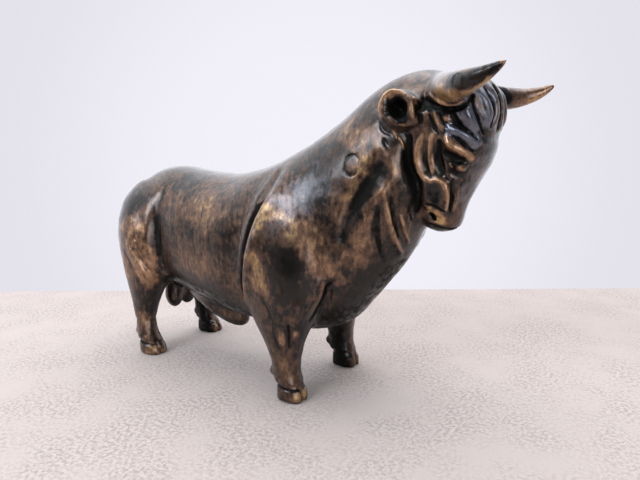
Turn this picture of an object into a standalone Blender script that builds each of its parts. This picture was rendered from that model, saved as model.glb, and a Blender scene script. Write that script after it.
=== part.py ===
"""A small cast bronze bull, standing on its four hooves with its head lowered.

The bull is one casting. It is modelled the way a sculptor works in wax: masses are laid down
for trunk, limbs and head, fused into one skin, the creases between them are filled, and the
folds are carved in with strokes. All proportions are in units of a sixth of the wheelbase.
+X is towards the head, +Y is the bull's left, +Z is up, and the soles stand on z = 0.
"""

import math

import bmesh
import bpy
import numpy as np
from mathutils import Vector
from mathutils.bvhtree import BVHTree

WHEELBASE = 0.060  # from the rear hooves to the front hooves, in metres
UNIT = WHEELBASE / 6.0
FRONT_TRACK = 2.80  # between the centres of the front hooves, in units
REAR_TRACK = 2.60  # between the centres of the rear hooves, in units
FRONT_OUT = FRONT_TRACK / 2
REAR_OUT = REAR_TRACK / 2

REACH = 12.0  # from outside, where the carver looks at the skin, in units
STROKE_STEP = 0.05  # between the places of a stroke, in units
SKIN_VOXEL = 0.045  # the grid that the masses are fused on, in units
SKIN_TRIANGLES = 9400  # what the finished skin is thinned to

BRONZE_COLOUR = (0.055, 0.035, 0.022, 1.0)
BRONZE_ROUGHNESS = 0.38
BRONZE_METALLIC = 0.85

RIGHT, LEFT = -1, 1

# Sections along the trunk, tail head to poll. Each is the point on the back (x, z), the point
# on the underside (x, z), the half width, how far up the section is widest, and how full the
# section is (2 is an ellipse, more is squarer).
TRUNK = (
    (-4.30, 4.70, -4.15, 3.50, 0.50, 0.5, 2.0),
    (-4.14, 5.32, -4.02, 2.75, 1.02, 0.5, 2.1),
    (-3.45, 5.93, -3.35, 2.45, 1.40, 0.5, 2.2),
    (-2.50, 6.18, -2.40, 2.20, 1.56, 0.5, 2.2),
    (-1.20, 6.03, -1.20, 1.95, 1.60, 0.47, 2.2),
    (0.20, 5.98, 0.00, 1.72, 1.68, 0.45, 2.2),
    (1.63, 6.28, 1.30, 1.56, 1.72, 0.47, 2.2),
    (2.93, 6.82, 2.80, 1.58, 1.70, 0.50, 2.2),
    (3.88, 7.40, 3.99, 1.94, 1.55, 0.45, 2.1),
    (4.75, 8.05, 4.84, 2.85, 1.35, 0.45, 2.1),
    (5.40, 8.38, 5.72, 3.98, 1.15, 0.50, 2.1),
    (6.10, 8.50, 6.30, 5.20, 0.92, 0.55, 2.1),
    (6.60, 8.40, 6.70, 5.90, 0.68, 0.55, 2.0),
)

# Level sections down a limb, top to sole. Each is the centre (x, y outwards from the midline, z)
# and the half sizes fore and aft and across.
FRONT_LIMB = (
    (2.70, 1.00, 5.95, 0.60, 0.34),
    (2.68, 1.12, 5.40, 1.05, 0.58),
    (2.60, 1.20, 4.50, 1.40, 0.76),
    (2.60, 1.22, 3.60, 1.42, 0.82),
    (2.66, 1.26, 2.70, 1.17, 0.76),
    (2.70, 1.32, 2.05, 0.83, 0.62),
    (2.78, 1.37, 1.50, 0.53, 0.48),
    (2.84, FRONT_OUT, 1.05, 0.42, 0.40),
    (2.88, FRONT_OUT, 0.78, 0.36, 0.36),
    (2.93, FRONT_OUT, 0.50, 0.40, 0.38),
    (3.00, FRONT_OUT, 0.38, 0.39, 0.37),
    (3.03, FRONT_OUT, 0.12, 0.43, 0.40),
    (3.02, FRONT_OUT, -0.12, 0.40, 0.38),
)
REAR_LIMB = (
    (-3.05, 0.72, 5.68, 0.60, 0.40),
    (-3.14, 0.92, 5.10, 0.98, 0.66),
    (-3.10, 1.08, 4.20, 1.06, 0.85),
    (-3.05, 1.14, 3.30, 0.94, 0.82),
    (-3.10, 1.20, 2.45, 0.72, 0.62),
    (-3.17, 1.26, 1.80, 0.50, 0.43),
    (-3.22, 1.28, 1.30, 0.38, 0.35),
    (-3.18, REAR_OUT, 0.90, 0.33, 0.31),
    (-3.12, REAR_OUT, 0.62, 0.35, 0.33),
    (-3.00, REAR_OUT, 0.42, 0.40, 0.36),
    (-2.90, REAR_OUT, 0.12, 0.47, 0.40),
    (-2.91, REAR_OUT, -0.12, 0.44, 0.38),
)
HEAD = (
    (6.80, 0.00, 8.35, 0.40, 0.50),
    (6.86, 0.00, 8.15, 0.70, 0.80),
    (6.90, 0.00, 7.75, 0.92, 0.98),
    (6.94, 0.00, 7.25, 0.92, 1.04),
    (6.90, 0.00, 6.80, 0.88, 1.00),
    (6.82, 0.00, 6.35, 0.84, 0.90),
    (6.70, 0.00, 5.85, 0.68, 0.72),
    (6.63, 0.00, 5.40, 0.54, 0.56),
    (6.62, 0.00, 5.12, 0.48, 0.55),
    (6.62, 0.00, 4.92, 0.42, 0.52),
    (6.66, 0.00, 4.78, 0.30, 0.38),
)

# The horn's centre line (x, y outwards, z) and its radius, root to tip.
HORN = (
    (6.65, 0.50, 7.86, 0.36),
    (6.95, 1.00, 7.90, 0.37),
    (7.32, 1.55, 7.88, 0.32),
    (7.70, 1.95, 7.90, 0.25),
    (8.06, 2.12, 7.98, 0.175),
    (8.36, 2.19, 8.12, 0.095),
    (8.50, 2.21, 8.21, 0.035),
)

# The tail, hanging close behind the rump, and the sheath under the belly, in the same way.
TAIL = (
    (-3.90, 0.0, 5.45, 0.24),
    (-4.32, 0.0, 5.05, 0.23),
    (-4.46, 0.0, 4.40, 0.20),
    (-4.42, 0.0, 3.70, 0.18),
    (-4.36, 0.0, 3.10, 0.19),
    (-4.30, 0.0, 2.55, 0.27),
    (-4.26, 0.0, 2.10, 0.22),
    (-4.24, 0.0, 1.85, 0.08),
)
SHEATH = (
    (-2.40, 0.0, 2.45, 0.42),
    (-1.20, 0.0, 1.92, 0.54),
    (-0.55, 0.0, 1.62, 0.50),
    (-0.10, 0.0, 1.36, 0.36),
    (0.14, 0.0, 1.20, 0.16),
)

# Balls of wax, as a centre and half sizes: forelock and muzzle, and in pairs, with y outwards,
# ear, ear root, brow, eye, cheek, the scrotum's lobe and neck, and the dewclaws.
DEWCLAW = (0.12, 0.10, 0.16)
DEWCLAW_OUT = 0.14  # from the middle of the leg
MIDLINE_BALLS = (
    ((7.12, 0.0, 7.64), (0.63, 0.84, 0.60)),
    ((6.58, 0.0, 4.98), (0.46, 0.54, 0.29)),
)
PAIRED_BALLS = (
    ((5.87, 1.07, 7.53), (0.44, 0.40, 0.45)),
    ((6.12, 1.00, 7.40), (0.34, 0.30, 0.36)),
    ((7.06, 0.66, 6.86), (0.46, 0.38, 0.30)),
    ((7.22, 0.74, 6.30), (0.22, 0.17, 0.17)),
    ((6.62, 0.50, 5.78), (0.50, 0.36, 0.62)),
    ((-2.95, 0.28, 1.80), (0.34, 0.30, 0.52)),
    ((-2.95, 0.24, 2.30), (0.40, 0.30, 0.60)),
    ((2.46, FRONT_OUT - DEWCLAW_OUT, 0.72), DEWCLAW),
    ((2.46, FRONT_OUT + DEWCLAW_OUT, 0.72), DEWCLAW),
    ((-3.48, REAR_OUT - DEWCLAW_OUT, 0.68), DEWCLAW),
    ((-3.48, REAR_OUT + DEWCLAW_OUT, 0.68), DEWCLAW),
)

# Strokes of the modelling tool, as half width, height and path. A height below zero is a groove.
# These are seen from the side, so that a path holds (x, z), and are made on both sides.
SHOULDER_STROKES = (
    # The hollow behind the shoulder, the crease at its edge and the rim in front of that.
    (0.70, -0.14, ((2.05, 5.70), (1.70, 4.95), (1.45, 4.20), (1.28, 3.40), (1.20, 2.70))),
    (0.24, -0.16, ((2.45, 6.05), (2.00, 5.00), (1.66, 3.80), (1.52, 3.15), (1.48, 2.60))),
    (0.26, 0.10, ((2.82, 5.75), (2.50, 5.05), (2.28, 4.40), (2.10, 3.80), (1.88, 2.70))),
    # The crease between upper arm and chest, and the arm's front rim.
    (0.17, -0.12, ((4.20, 3.35), (4.08, 2.95), (3.86, 2.50), (3.62, 2.15))),
    (0.15, 0.07, ((3.96, 3.40), (3.86, 3.00), (3.66, 2.60), (3.44, 2.20))),
    # The groove down the knee.
    (0.10, -0.05, ((3.22, 2.20), (3.18, 1.90), (3.14, 1.55))),
)
NECK_STROKES = (
    # The broad fold from behind the ear to the shoulder, and the ridge above it.
    (0.24, -0.11, ((5.44, 6.36), (5.16, 5.88), (4.90, 5.45), (4.70, 4.95), (4.61, 4.45))),
    (0.18, 0.07, ((5.48, 6.70), (5.68, 6.38), (5.72, 6.02), (5.50, 5.62), (5.04, 4.75))),
    # Folds down the dewlap.
    (0.13, 0.09, ((5.54, 5.78), (5.58, 5.45), (5.66, 5.02), (5.68, 4.60), (5.70, 4.20))),
    (0.10, -0.07, ((5.74, 5.55), (5.79, 5.05), (5.82, 4.55))),
    (0.08, 0.06, ((5.88, 5.30), (5.91, 4.90), (5.90, 4.50))),
    (0.18, -0.08, ((5.40, 5.35), (5.20, 4.90), (5.06, 4.45), (4.90, 3.95))),
    (0.16, -0.07, ((4.62, 3.95), (4.44, 3.50), (4.16, 3.10))),
)
HEAD_STROKES = (
    # The deep groove behind the jaw, and the folds of the cheek with the hollows between them.
    (0.17, -0.18, ((6.03, 6.95), (6.06, 6.50), (6.13, 6.16), (6.22, 5.65), (6.08, 5.15))),
    (0.12, 0.07, ((6.38, 6.95), (6.25, 6.60), (6.22, 6.30), (6.34, 6.06), (6.56, 5.94))),
    (0.09, -0.07, ((6.46, 6.80), (6.39, 6.50), (6.43, 6.22), (6.56, 6.06))),
    (0.10, 0.06, ((6.62, 6.95), (6.54, 6.68), (6.56, 6.42), (6.62, 6.14))),
    (0.13, -0.10, ((6.80, 6.80), (6.76, 6.40), (6.86, 6.08))),
    # The jaw's edge, and the groove along the nose.
    (0.10, 0.06, ((6.58, 5.97), (6.77, 5.95), (6.90, 5.80), (6.92, 5.53), (6.85, 5.29))),
    (0.10, -0.10, ((7.12, 6.02), (7.06, 5.66), (6.98, 5.34))),
    # The crease over the muzzle, and the nostril.
    (0.09, -0.08, ((6.40, 5.40), (6.68, 5.38), (6.92, 5.28))),
    (0.10, -0.13, ((6.50, 5.17), (6.60, 5.05))),
    # The outer lock, two brow grooves, the heavy brow, the socket and the eyeball.
    (0.17, 0.07, ((7.34, 7.66), (7.36, 7.40), (7.46, 7.12))),
    (0.09, -0.09, ((7.02, 7.19), (7.25, 7.13), (7.41, 7.02), (7.54, 6.86))),
    (0.09, -0.08, ((7.08, 6.95), (7.29, 6.84), (7.41, 6.69), (7.48, 6.58))),
    (0.13, 0.08, ((6.97, 6.80), (7.13, 6.67), (7.30, 6.57), (7.46, 6.42))),
    (0.13, -0.13, ((6.96, 6.58), (7.26, 6.46), (7.42, 6.32), (7.38, 6.14), (7.02, 6.26))),
    (0.13, 0.12, ((7.20, 6.31), (7.29, 6.28))),
)
EAR_STROKES = (
    # Under the ear, in front of it, its rim, and its hollow.
    (0.14, -0.12, ((5.42, 7.30), (5.66, 7.05), (6.00, 6.98), (6.32, 7.10))),
    (0.10, -0.12, ((6.40, 7.35), (6.42, 7.60), (6.38, 7.85))),
    (0.10, 0.05, ((5.58, 7.36), (5.58, 7.66), (5.76, 7.88), (6.02, 7.86), (6.22, 7.68), (6.26, 7.42))),
    (0.27, -0.34, ((5.92, 7.65), (6.02, 7.48))),
)
HAUNCH_STROKES = (
    # The hollow of the flank, the crease along the thigh and the ridge behind it.
    (0.55, -0.08, ((-1.85, 5.20), (-1.85, 4.40), (-1.85, 3.60), (-1.95, 3.00))),
    (0.19, -0.11, ((-2.05, 5.45), (-2.13, 4.80), (-2.13, 4.20), (-2.12, 3.40), (-2.16, 2.95))),
    (0.17, 0.07, ((-2.40, 5.10), (-2.40, 4.50), (-2.36, 3.90), (-2.36, 3.40))),
    # Slanting folds over the thigh, and the hollow under the hip.
    (0.12, -0.08, ((-2.80, 3.80), (-2.56, 3.40), (-2.40, 2.95))),
    (0.12, 0.07, ((-3.00, 3.72), (-2.74, 3.30), (-2.56, 2.92), (-2.48, 2.50))),
    (0.10, -0.06, ((-2.50, 3.95), (-2.34, 3.48), (-2.24, 3.00))),
    (0.20, -0.08, ((-2.90, 4.98), (-2.66, 4.68), (-2.48, 4.28))),
)
SIDE_STROKES = SHOULDER_STROKES + NECK_STROKES + HEAD_STROKES + EAR_STROKES + HAUNCH_STROKES

# These are on the forehead, seen from the front, so that a path holds (y outwards, z): locks of
# hair with the grooves between them, and the groove across the brow.
FRONT_STROKES = (
    (0.15, 0.06, ((0.00, 8.10), (0.00, 7.60), (0.00, 7.15))),
    (0.09, -0.09, ((0.18, 8.20), (0.18, 7.75), (0.17, 7.40), (0.20, 7.05))),
    (0.14, 0.06, ((0.36, 8.05), (0.32, 7.65), (0.32, 7.25))),
    (0.09, -0.09, ((0.58, 8.05), (0.46, 7.65), (0.43, 7.40), (0.47, 7.08))),
    (0.15, 0.07, ((0.74, 7.95), (0.64, 7.60), (0.54, 7.28))),
    (0.09, -0.11, ((0.90, 7.80), (0.86, 7.52), (0.75, 7.27), (0.58, 7.02))),
    (0.12, -0.09, ((0.00, 6.90), (0.30, 6.90), (0.58, 6.98), (0.82, 7.10))),
)

# Rings round a limb, as level, half width and height: the coronet, and the crease of the fetlock.
LIMB_RINGS = (
    (0.46, 0.08, -0.06),
    (1.12, 0.08, -0.04),
)
CLEFT_LEVELS = (0.40, 0.20, 0.0)  # down the front and the back of a hoof
CLEFT_WIDTH = 0.08
CLEFT_DEPTH = 0.12
HOOF_REACH = 0.9  # from outside a limb, where the carver looks at it


def clear_scene():
    for obj in list(bpy.data.objects):
        bpy.data.objects.remove(obj, do_unlink=True)


def spline(rows, count):
    """Catmull-Rom through the rows of numbers, as count evenly spread rows."""
    rows = np.asarray(rows, float)
    padded = np.vstack([2 * rows[0] - rows[1], rows, 2 * rows[-1] - rows[-2]])
    at = np.linspace(0, len(rows) - 1, count)
    span = np.minimum(at.astype(int), len(rows) - 2)
    t = (at - span)[:, None]
    a, b, c, d = (padded[span + k] for k in range(4))
    return 0.5 * (2 * b + (c - a) * t + (2 * a - 5 * b + 4 * c - d) * t**2
                  + (3 * b - a - 3 * c + d) * t**3)


def closed_loft(rings):
    """One closed bmesh skin through rings of points, with a flat face over each end."""
    made = bmesh.new()
    loops = [[made.verts.new(Vector(p) * UNIT) for p in ring] for ring in rings]
    for low, high in zip(loops, loops[1:]):
        for i in range(len(low)):
            j = (i + 1) % len(low)
            made.faces.new((low[i], low[j], high[j], high[i]))
    made.faces.new(loops[0][::-1])
    made.faces.new(loops[-1])
    bmesh.ops.recalc_face_normals(made, faces=made.faces)
    return made


def squared(value, fullness):
    """A sine or cosine pushed outwards, so that an ellipse becomes a fuller oval."""
    return np.sign(value) * np.abs(value) ** (2.0 / fullness)


def trunk_mass(rings=60, sides=40):
    turn = np.linspace(0, 2 * math.pi, sides, endpoint=False)
    made = []
    for bx, bz, ux, uz, width, widest, fullness in spline(TRUNK, rings):
        under, up = np.array([ux, uz]), np.array([bx - ux, bz - uz])
        across = width * squared(np.cos(turn), fullness)
        rise = squared(np.sin(turn), fullness)
        share = widest + np.where(rise > 0, (1 - widest) * rise, widest * rise)
        x, z = (under[:, None] + up[:, None] * share)
        made.append(np.stack([x, across, z], axis=1))
    return closed_loft(made)


def level_mass(sections, side=RIGHT, rings=48, sides=28, fullness=2.2):
    """A limb or head: level ovals, one above the other."""
    turn = np.linspace(0, 2 * math.pi, sides, endpoint=False)
    made = []
    for x, out, z, fore, across in spline(sections, rings):
        made.append(np.stack([x + fore * squared(np.cos(turn), fullness),
                              side * out + across * squared(np.sin(turn), fullness),
                              np.full(sides, z)], axis=1))
    return closed_loft(made)


def tube_mass(path, side=RIGHT, rings=24, sides=16):
    """A round, tapering tube square to its own path, such as a horn."""
    rows = spline(path, rings)
    centres = rows[:, :3] * [1, side, 1]
    along = np.gradient(centres, axis=0)
    turn = np.linspace(0, 2 * math.pi, sides, endpoint=False)[:, None]
    across = np.array([0.0, 1.0, 0.0])
    made = []
    for centre, radius, way in zip(centres, rows[:, 3], along):
        way = way / np.linalg.norm(way)
        across = across - way * (across @ way)
        across /= np.linalg.norm(across)
        made.append(centre + radius * (np.cos(turn) * across + np.sin(turn) * np.cross(way, across)))
    return closed_loft(made)


def ball_mass(centre, size):
    made = bmesh.new()
    bmesh.ops.create_uvsphere(made, u_segments=24, v_segments=16, radius=1.0)
    for vert in made.verts:
        vert.co = Vector([(c + s * v) * UNIT for c, s, v in zip(centre, size, vert.co)])
    return made


def masses():
    made = [trunk_mass(), level_mass(HEAD), tube_mass(TAIL), tube_mass(SHEATH)]
    made += [ball_mass(centre, size) for centre, size in MIDLINE_BALLS]
    for side in (RIGHT, LEFT):
        made.append(level_mass(FRONT_LIMB, side))
        made.append(level_mass(REAR_LIMB, side))
        made.append(tube_mass(HORN, side))
        for (x, out, z), size in PAIRED_BALLS:
            made.append(ball_mass((x, side * out, z), size))
    return made


def fused(parts):
    """All masses as one skin, on an even grid."""
    together = bmesh.new()
    for part in parts:
        scratch = bpy.data.meshes.new("scratch")
        part.to_mesh(scratch)
        part.free()
        together.from_mesh(scratch)
        bpy.data.meshes.remove(scratch)
    mesh = bpy.data.meshes.new("masses")
    together.to_mesh(mesh)
    together.free()
    obj = bpy.data.objects.new("masses", mesh)
    bpy.context.scene.collection.objects.link(obj)
    remesh = obj.modifiers.new("fuse", "REMESH")
    remesh.mode = "VOXEL"
    remesh.voxel_size = SKIN_VOXEL * UNIT
    graph = bpy.context.evaluated_depsgraph_get()
    skin = bpy.data.meshes.new_from_object(obj.evaluated_get(graph))
    bpy.data.objects.remove(obj)
    return skin


class Skin:
    """The fused surface as arrays, in units, so that it can be worked like wax."""

    def __init__(self, mesh):
        self.mesh = mesh
        flat = np.empty(len(mesh.vertices) * 3, np.float32)
        mesh.vertices.foreach_get("co", flat)
        self.points = flat.reshape(-1, 3).astype(float) / UNIT
        ends = np.empty(len(mesh.edges) * 2, np.int32)
        mesh.edges.foreach_get("vertices", ends)
        self.ends = ends.reshape(-1, 2)
        self.degree = np.bincount(self.ends.ravel(), minlength=len(self.points))[:, None]

    def write(self):
        self.mesh.vertices.foreach_set("co", (self.points * UNIT).astype(np.float32).ravel())
        self.mesh.update()

    def normals(self):
        self.write()
        flat = np.empty(len(self.points) * 3, np.float32)
        self.mesh.vertex_normals.foreach_get("vector", flat)
        return flat.reshape(-1, 3).astype(float)

    def to_neighbours(self):
        """From each point to the middle of its neighbours."""
        total = np.zeros_like(self.points)
        for k in range(3):
            column = self.points[:, k]
            total[:, k] = (np.bincount(self.ends[:, 0], column[self.ends[:, 1]], len(column))
                           + np.bincount(self.ends[:, 1], column[self.ends[:, 0]], len(column)))
        return total / self.degree - self.points

    def relax(self, passes, strength=0.5):
        for _ in range(passes):
            self.points += strength * self.to_neighbours()

    def guide(self):
        self.write()
        faces = [face.vertices[:] for face in self.mesh.polygons]
        return BVHTree.FromPolygons(self.points.tolist(), faces)

    def stroke(self, places, facing, half_width, height, fade=True):
        """Pushes the skin in or out along places on its right side, and along their mirror."""
        strength = height * np.ones(len(places))
        if fade:
            strength *= np.sin(np.linspace(0.12, 0.88, len(places)) * math.pi) ** 0.5
        for mirror in ([1, 1, 1], [1, -1, 1]):
            normal = self.normals()
            self.push(places * mirror, facing * mirror, half_width, strength, normal)
            if np.abs(places[:, 1]).max() < half_width / 4:
                break

    def push(self, places, facing, half_width, strength, normal):
        reach = half_width + abs(strength).max() * 2
        inside = (self.points > places.min(0) - reach) & (self.points < places.max(0) + reach)
        near = np.flatnonzero(inside.all(1))
        gap = self.points[near, None] - places
        depth = (gap * facing).sum(2)
        beside = np.linalg.norm(gap - depth[..., None] * facing, axis=2)
        beside[np.abs(depth) > reach] = np.inf
        closest = beside.argmin(1)
        share = beside[np.arange(len(near)), closest] / half_width
        faces_it = (normal[near] * facing[closest]).sum(1) > -0.2
        press = np.where(faces_it & (share < 1), (1 - np.minimum(share, 1) ** 2) ** 2, 0)
        self.points[near] += (press * strength[closest])[:, None] * facing[closest]

    def fill_creases(self, passes, refresh=4):
        """Raises hollows only, as wax is smeared into the angle between two masses."""
        normal = self.normals()
        for step in range(passes):
            if step and step % refresh == 0:
                normal = self.normals()
            move = self.to_neighbours()
            lift = np.maximum(0.0, (move * normal).sum(1))[:, None]
            self.points += lift * normal + 0.3 * (move - (move * normal).sum(1)[:, None] * normal)


def seen(guide, path, view):
    """Where a path that is drawn in a view lies on the skin, and which way the skin faces there."""
    length = np.linalg.norm(np.diff(np.asarray(path), axis=0), axis=1).sum()
    places, facing = [], []
    for a, b in spline(path, max(4, int(length / STROKE_STEP))):
        start, way = view(a, b)
        place, normal, _, _ = guide.ray_cast(Vector(start), Vector(way))
        if place is not None:
            places.append(place)
            facing.append(normal)
    return np.array(places), np.array(facing)


def around(guide, limb, level, steps=28):
    """A ring on the skin round a limb, at a height above the soles."""
    rows = spline(limb, 120)
    x, out = rows[np.abs(rows[:, 2] - level).argmin(), :2]
    places, facing = [], []
    for turn in np.linspace(0, 2 * math.pi, steps, endpoint=False):
        way = Vector((math.cos(turn), math.sin(turn), 0))
        centre = Vector((x, -out, level))
        place, normal, _, _ = guide.ray_cast(centre + way * HOOF_REACH, -way)
        if place is not None:
            places.append(place)
            facing.append(normal)
    return np.array(places), np.array(facing)


def carve_hoof(skin, guide, limb):
    """The rings round the foot of a limb, and the cleft down the hoof's front and its back."""
    x, out = limb[-2][:2]
    for level, half_width, height in LIMB_RINGS:
        skin.stroke(*around(guide, limb, level), half_width, height, fade=False)
    for side in (1, -1):
        path = [(out, level) for level in CLEFT_LEVELS]
        found = seen(guide, path, lambda a, b: ((x + side * HOOF_REACH, -a, b), (-side, 0, 0)))
        skin.stroke(*found, CLEFT_WIDTH, -CLEFT_DEPTH, fade=False)


def bull():
    skin = Skin(fused(masses()))
    skin.fill_creases(60)
    skin.relax(4)
    guide = skin.guide()
    for half_width, height, path in SIDE_STROKES:
        found = seen(guide, path, lambda a, b: ((a, -REACH, b), (0, 1, 0)))
        skin.stroke(*found, half_width, height)
    for half_width, height, path in FRONT_STROKES:
        found = seen(guide, path, lambda a, b: ((REACH, -a, b), (-1, 0, 0)))
        skin.stroke(*found, half_width, height)
    for limb in (FRONT_LIMB, REAR_LIMB):
        carve_hoof(skin, guide, limb)
    skin.relax(1)
    skin.write()
    return skin.mesh


def thinned(mesh):
    obj = bpy.data.objects.new("bull", mesh)
    bpy.context.scene.collection.objects.link(obj)
    thin = obj.modifiers.new("thin", "DECIMATE")
    mesh.calc_loop_triangles()
    thin.ratio = min(1.0, SKIN_TRIANGLES / len(mesh.loop_triangles))
    graph = bpy.context.evaluated_depsgraph_get()
    result = bpy.data.meshes.new_from_object(obj.evaluated_get(graph))
    bpy.data.objects.remove(obj)
    return result


def standing(mesh):
    """Cuts the soles flat at z = 0 and sets the origin at the middle of the base."""
    work = bmesh.new()
    work.from_mesh(mesh)
    everything = work.verts[:] + work.edges[:] + work.faces[:]
    bmesh.ops.bisect_plane(work, geom=everything, plane_co=(0, 0, 0), plane_no=(0, 0, -1),
                           clear_outer=True)
    rims = [edge for edge in work.edges if edge.is_boundary]
    bmesh.ops.holes_fill(work, edges=rims)
    bmesh.ops.triangulate(work, faces=work.faces[:])
    x = [vert.co.x for vert in work.verts]
    y = [vert.co.y for vert in work.verts]
    shift = Vector((-(min(x) + max(x)) / 2, -(min(y) + max(y)) / 2, 0))
    bmesh.ops.translate(work, vec=shift, verts=work.verts)
    work.to_mesh(mesh)
    work.free()
    return mesh


def bronze():
    material = bpy.data.materials.new("patinated bronze")
    material.use_nodes = True
    shader = material.node_tree.nodes["Principled BSDF"]
    shader.inputs["Base Color"].default_value = BRONZE_COLOUR
    shader.inputs["Roughness"].default_value = BRONZE_ROUGHNESS
    shader.inputs["Metallic"].default_value = BRONZE_METALLIC
    return material


def main():
    clear_scene()
    mesh = standing(thinned(bull()))
    mesh.shade_smooth()
    mesh.materials.append(bronze())
    obj = bpy.data.objects.new("bull", mesh)
    group = bpy.data.collections.new("bull sculpture")
    bpy.context.scene.collection.children.link(group)
    group.objects.link(obj)


main()
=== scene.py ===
"""The cast bronze bull as it looks in the photograph: finer relief, patina, floor, light and camera.

The CAD skin is rebuilt as a finer mesh and carved with the strokes that the solid is too coarse
for. Lengths in the tables are in units of a sixth of the wheelbase, from the middle of the
wheelbase on the floor. +X is towards the head and +Y is the bull's left.
"""

import math

import bmesh
import bpy
import numpy as np
from mathutils import Matrix, Vector, kdtree, noise
from mathutils.bvhtree import BVHTree


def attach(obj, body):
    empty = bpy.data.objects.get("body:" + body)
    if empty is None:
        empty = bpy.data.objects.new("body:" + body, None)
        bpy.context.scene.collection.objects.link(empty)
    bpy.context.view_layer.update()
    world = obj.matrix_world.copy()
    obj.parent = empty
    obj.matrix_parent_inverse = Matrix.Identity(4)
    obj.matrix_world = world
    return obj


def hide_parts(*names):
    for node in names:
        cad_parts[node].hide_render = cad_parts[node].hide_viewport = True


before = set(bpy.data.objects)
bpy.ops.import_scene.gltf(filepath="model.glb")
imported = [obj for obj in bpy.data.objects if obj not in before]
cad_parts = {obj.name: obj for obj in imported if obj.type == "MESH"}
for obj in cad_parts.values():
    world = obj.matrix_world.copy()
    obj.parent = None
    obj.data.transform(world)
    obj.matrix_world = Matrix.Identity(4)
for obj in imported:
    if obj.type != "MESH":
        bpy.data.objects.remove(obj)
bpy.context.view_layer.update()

UNIT = 0.010  # metres
MIDDLE_X = -0.019181  # the middle of the wheelbase in the row frame, in metres
STROKE_STEP = 0.025
FINE_VOXEL = 0.025
MOST_TRIANGLES = 190000
BOTH_SIDES = (-1, 1)  # right and left
HAND_SWAY = 0.35  # how unevenly a stroke is cut
LEVEL_PASSES = 36  # how widely the skin is levelled to find what stands proud of it
RUBBED_HEIGHT = 0.05
GRIMY_DEPTH = 0.035
LUMP_HEIGHT = 0.010
TRUNK_LEVEL = 5.4  # painted shade darkens undersides below it
LEG_LEVEL = 3.2  # and the inner sides of the legs below it

# Strokes of the fine tool, as half width, height, tint and path. A height below zero is a
# groove. A tint above zero is metal rubbed bare, and one below zero is dark grime. The path is
# of (x, outwards from the midline, z) and each stroke is made on both sides.
EAR_STROKES = (
    (0.37, -0.24, -1.0, ((5.86, 1.30, 7.66), (5.95, 1.28, 7.52), (6.03, 1.28, 7.36))),
    (0.10, 0.06, 1.0, ((5.58, 1.36, 7.38), (5.57, 1.38, 7.66), (5.72, 1.36, 7.89), (5.95, 1.35, 7.93),
                       (6.12, 1.32, 7.84))),
    (0.08, 0.05, 0.7, ((6.12, 1.32, 7.84), (6.26, 1.28, 7.64), (6.30, 1.26, 7.36))),
    (0.07, 0.03, 0.6, ((5.98, 1.22, 7.24), (6.08, 1.20, 7.22))),
    (0.09, -0.04, -0.9, ((6.40, 1.20, 7.62), (6.44, 1.15, 7.42), (6.44, 1.10, 7.21))),
    (0.09, 0.04, 0.5, ((6.32, 1.15, 7.84), (6.38, 1.05, 7.72))),
    (0.10, 0.05, 0.1, ((5.42, 1.24, 7.44), (5.52, 1.22, 7.24), (5.66, 1.16, 7.12))),
    (0.07, -0.025, -0.5, ((5.38, 1.18, 7.28), (5.50, 1.14, 7.10), (5.70, 1.08, 6.98))),
)
HORN_STROKES = (
    (0.09, -0.10, -1.0, ((6.37, 0.88, 7.76), (6.62, 1.06, 7.58), (6.85, 1.10, 7.48), (7.06, 1.07, 7.44),
                         (7.22, 1.02, 7.48), (7.36, 0.94, 7.58), (7.47, 0.84, 7.74))),
    (0.08, 0.06, 0.8, ((6.64, 1.16, 7.80), (6.92, 1.38, 7.64), (7.13, 1.40, 7.58), (7.25, 1.22, 7.58),
                       (7.38, 1.04, 7.66))),
    (0.08, -0.06, -1.0, ((7.42, 1.02, 7.98), (7.52, 1.08, 7.86), (7.50, 1.10, 7.74))),
)
FOREHEAD_STROKES = (
    (0.26, 0.07, -0.3, ((7.36, 0.94, 7.72), (7.36, 0.95, 7.42), (7.50, 0.82, 7.12))),
    (0.19, 0.05, -0.3, ((7.58, 0.72, 7.84), (7.66, 0.60, 7.58), (7.74, 0.50, 7.28))),
    (0.15, 0.04, -0.3, ((7.76, 0.36, 7.94), (7.85, 0.32, 7.60), (7.87, 0.32, 7.22))),
    (0.10, -0.07, -1.0, ((7.16, 1.06, 7.62), (7.10, 1.07, 7.42), (7.17, 1.01, 7.24), (7.30, 0.93, 7.08))),
    (0.07, -0.07, -1.0, ((7.45, 0.86, 7.80), (7.49, 0.85, 7.54), (7.60, 0.76, 7.27), (7.68, 0.58, 6.98))),
    (0.06, -0.05, -0.9, ((7.66, 0.56, 7.98), (7.76, 0.45, 7.65), (7.80, 0.43, 7.40), (7.80, 0.46, 7.08))),
    (0.06, -0.05, -0.9, ((7.70, 0.14, 8.06), (7.88, 0.14, 7.70), (7.92, 0.14, 7.35), (7.84, 0.16, 7.05))),
    (0.035, -0.012, -0.2, ((7.30, 0.98, 7.66), (7.27, 1.00, 7.40), (7.38, 0.90, 7.12))),
    (0.035, -0.012, -0.2, ((7.40, 0.92, 7.68), (7.42, 0.91, 7.42), (7.54, 0.80, 7.18))),
    (0.035, -0.012, -0.2, ((7.56, 0.76, 7.80), (7.62, 0.68, 7.54), (7.70, 0.58, 7.28))),
    (0.035, -0.012, -0.2, ((7.78, 0.36, 7.90), (7.85, 0.32, 7.58), (7.87, 0.32, 7.26))),
    (0.06, 0.012, 0.9, ((7.69, 0.54, 7.56), (7.74, 0.49, 7.36), (7.76, 0.48, 7.24))),
    (0.07, 0.012, 0.8, ((7.86, 0.32, 7.62), (7.88, 0.30, 7.36), (7.84, 0.33, 7.12))),
)
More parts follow.
